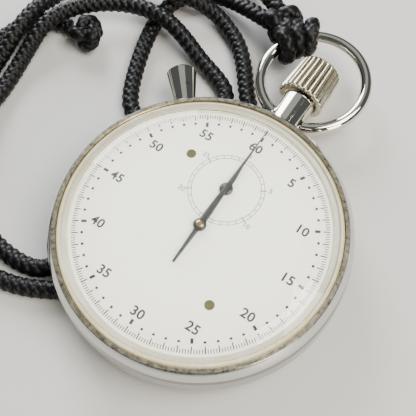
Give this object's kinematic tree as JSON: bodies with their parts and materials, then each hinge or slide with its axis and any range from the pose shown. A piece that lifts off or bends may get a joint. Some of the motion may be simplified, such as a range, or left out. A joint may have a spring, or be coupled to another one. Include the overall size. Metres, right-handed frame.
{
  "type": "mechanical stopwatch",
  "caption": "Hand-wound stopwatch: fluted crown starts and stops a centre seconds hand, side button resets it, thirty-minute sub-dial, pendant bow and knotted lanyard",
  "frame": {"origin": "centre of the flat of the case back, on which the watch rests", "axes": "+Z out through the dial; +Y from the dial centre to the crown and the sixty mark; +X towards the fifteen mark"},
  "size_m": [0.1096, 0.0915, 0.0143],
  "materials": {
    "polished_steel": "polished, worn through in places",
    "case_steel": "polished with fine scratches",
    "crown_nickel": "satin, fluted, brassy in the grooves",
    "stem_steel": "turned",
    "spring_steel": "blued",
    "rubber_seal": "matte",
    "crystal_seal": "yellowed translucent",
    "crystal_glass": "clear acrylic with fine scratches",
    "dial_enamel": "satin off-white with printed scales",
    "dial_stud_brass": "dull olive",
    "flange_metal": "satin silvered",
    "hand_black": "satin black lacquer",
    "cap_brass": "polished, tarnished",
    "plate_brass": "gilt, fine grained",
    "wheel_brass": "circular grained",
    "train_steel": "polished",
    "keyless_steel": "snailed",
    "lever_steel": "straight grained",
    "screw_steel": "blued heads",
    "ruby": "polished red",
    "lanyard_cord": "woven nylon, satin"
  },
  "bodies": {
    "case": {"case_band": "case_steel", "case_back": "case_steel", "back_gasket": "rubber_seal", "bezel": "polished_steel", "crystal_gasket": "crystal_seal", "crystal": "crystal_glass", "dial_flange": "flange_metal", "movement_ring": "plate_brass", "pendant_neck": "polished_steel", "reset_tube": "case_steel", "main_plate": "plate_brass", "barrel_bridge": "plate_brass", "train_bridge": "plate_brass", "balance_cock": "plate_brass", "pallet_bridge": "plate_brass", "jewels": "ruby", "movement_screws": "screw_steel", "dial": "dial_enamel", "dial_studs": "dial_stud_brass", "click_spring": "spring_steel", "hairspring": "spring_steel", "lanyard_long": "lanyard_cord", "lanyard_short": "lanyard_cord", "end_knot": "lanyard_cord"},
    "bow": {"bow": "polished_steel", "bow_knot": "lanyard_cord"},
    "crown_slider": {"stem_sleeve": "stem_steel", "crown_spring": "spring_steel"},
    "crown_rotor": {"crown": "crown_nickel", "winding_stem": "stem_steel"},
    "pinion": {"winding_pinion": "keyless_steel"},
    "crown_gear": {"crown_wheel": "keyless_steel"},
    "winding": {"barrel_arbor": "train_steel", "ratchet_wheel": "keyless_steel"},
    "click": {"click": "keyless_steel"},
    "reset": {"reset_button": "polished_steel", "reset_stem": "stem_steel", "reset_spring": "spring_steel"},
    "hammer": {"reset_hammer": "lever_steel"},
    "operating": {"operating_lever": "lever_steel"},
    "brake": {"brake_lever": "lever_steel"},
    "barrel": {"barrel_drum": "wheel_brass", "barrel_cover": "wheel_brass", "mainspring": "spring_steel"},
    "minutes": {"minute_arbor": "train_steel", "minute_wheel": "wheel_brass", "minute_heart": "lever_steel", "minute_hand": "hand_black"},
    "third": {"third_arbor": "train_steel", "third_wheel": "wheel_brass"},
    "seconds": {"centre_arbor": "train_steel", "centre_wheel": "wheel_brass", "seconds_heart": "lever_steel", "seconds_hand": "hand_black", "seconds_cap": "cap_brass"},
    "escape": {"escape_arbor": "train_steel", "escape_wheel": "train_steel"},
    "pallets": {"pallet_fork": "train_steel"},
    "balance": {"balance_wheel": "wheel_brass", "balance_staff": "train_steel"}
  },
  "joints": [
    {"name": "bow_swing", "type": "hinge", "parent": "case", "child": "bow", "pos_m": [0, 0.029, 0.0057], "axis": [1, 0, 0], "range_deg": [-9, 81]},
    {"name": "crown_press", "type": "slide", "parent": "case", "child": "crown_slider", "axis": [0, -1, 0], "range_m": [0, 0.0008], "stiffness_N_per_m": 2500, "springref_m": -0.0006},
    {"name": "crown_turn", "type": "hinge", "parent": "crown_slider", "child": "crown_rotor", "pos_m": [0, 0.033, 0.0062], "axis": [0, 1, 0], "continuous": true},
    {"name": "pinion_turn", "type": "hinge", "parent": "case", "child": "pinion", "pos_m": [0, 0.0162, 0.0062], "axis": [0, 1, 0], "continuous": true},
    {"name": "crown_wheel_turn", "type": "hinge", "parent": "case", "child": "crown_gear", "pos_m": [0.0016, 0.01271, 0.0041], "axis": [0, 0, 1], "continuous": true},
    {"name": "ratchet_turn", "type": "hinge", "parent": "case", "child": "winding", "pos_m": [0.0084, 0.00804, 0.0041], "axis": [0, 0, 1], "continuous": true},
    {"name": "click_lift", "type": "hinge", "parent": "case", "child": "click", "pos_m": [0.0153, 0.00644, 0.0041], "axis": [0, 0, 1], "range_deg": [0, 5], "stiffness_Nm_per_rad": 0.00005, "springref_deg": -2.86},
    {"name": "reset_press", "type": "slide", "parent": "case", "child": "reset", "axis": [0.6428, -0.766, 0], "range_m": [0, 0.001], "stiffness_N_per_m": 1500, "springref_m": -0.0006},
    {"name": "hammer_swing", "type": "hinge", "parent": "case", "child": "hammer", "pos_m": [-0.0053, 0.0188, 0.00795], "axis": [0, 0, 1], "range_deg": [0, 7.6]},
    {"name": "operating_swing", "type": "hinge", "parent": "case", "child": "operating", "pos_m": [0.007, 0.0172, 0.00795], "axis": [0, 0, 1], "range_deg": [0, 8.4]},
    {"name": "brake_swing", "type": "hinge", "parent": "case", "child": "brake", "pos_m": [0.0189, 0.004, 0.00795], "axis": [0, 0, -1], "range_deg": [0, 3.8]},
    {"name": "seconds_turn", "type": "hinge", "parent": "case", "child": "seconds", "pos_m": [0, 0, 0.0115], "axis": [0, 0, -1], "continuous": true},
    {"name": "minutes_turn", "type": "hinge", "parent": "case", "child": "minutes", "pos_m": [0, 0.00804, 0.0115], "axis": [0, 0, -1], "continuous": true},
    {"name": "third_turn", "type": "hinge", "parent": "case", "child": "third", "pos_m": [-0.00585, 0.0042, 0.006], "axis": [0, 0, -1], "continuous": true},
    {"name": "barrel_turn", "type": "hinge", "parent": "case", "child": "barrel", "pos_m": [0.0084, 0.00804, 0.0059], "axis": [0, 0, -1], "continuous": true},
    {"name": "escape_turn", "type": "hinge", "parent": "case", "child": "escape", "pos_m": [-0.00115, -0.0065, 0.006], "axis": [0, 0, -1], "continuous": true},
    {"name": "pallet_rock", "type": "hinge", "parent": "case", "child": "pallets", "pos_m": [0.0029, -0.0086, 0.006], "axis": [0, 0, 1], "range_deg": [-5, 5]},
    {"name": "balance_swing", "type": "hinge", "parent": "case", "child": "balance", "pos_m": [0.0074, -0.0104, 0.00475], "axis": [0, 0, 1], "range_deg": [-150, 150]}
  ],
  "couplings": [
    {"joint": "pinion_turn", "follows": "crown_turn", "ratio": 1},
    {"joint": "crown_wheel_turn", "follows": "crown_turn", "ratio": -0.4},
    {"joint": "ratchet_turn", "follows": "crown_turn", "ratio": 0.33333},
    {"joint": "hammer_swing", "follows": "reset_press", "rad_per_m": 128},
    {"joint": "operating_swing", "follows": "crown_press", "rad_per_m": 177.5},
    {"joint": "brake_swing", "follows": "crown_press", "rad_per_m": 78.1},
    {"joint": "minutes_turn", "follows": "seconds_turn", "ratio": 0.033333},
    {"joint": "third_turn", "follows": "seconds_turn", "ratio": -0.2},
    {"joint": "barrel_turn", "follows": "seconds_turn", "ratio": -0.005556},
    {"joint": "escape_turn", "follows": "seconds_turn", "ratio": -10}
  ]
}
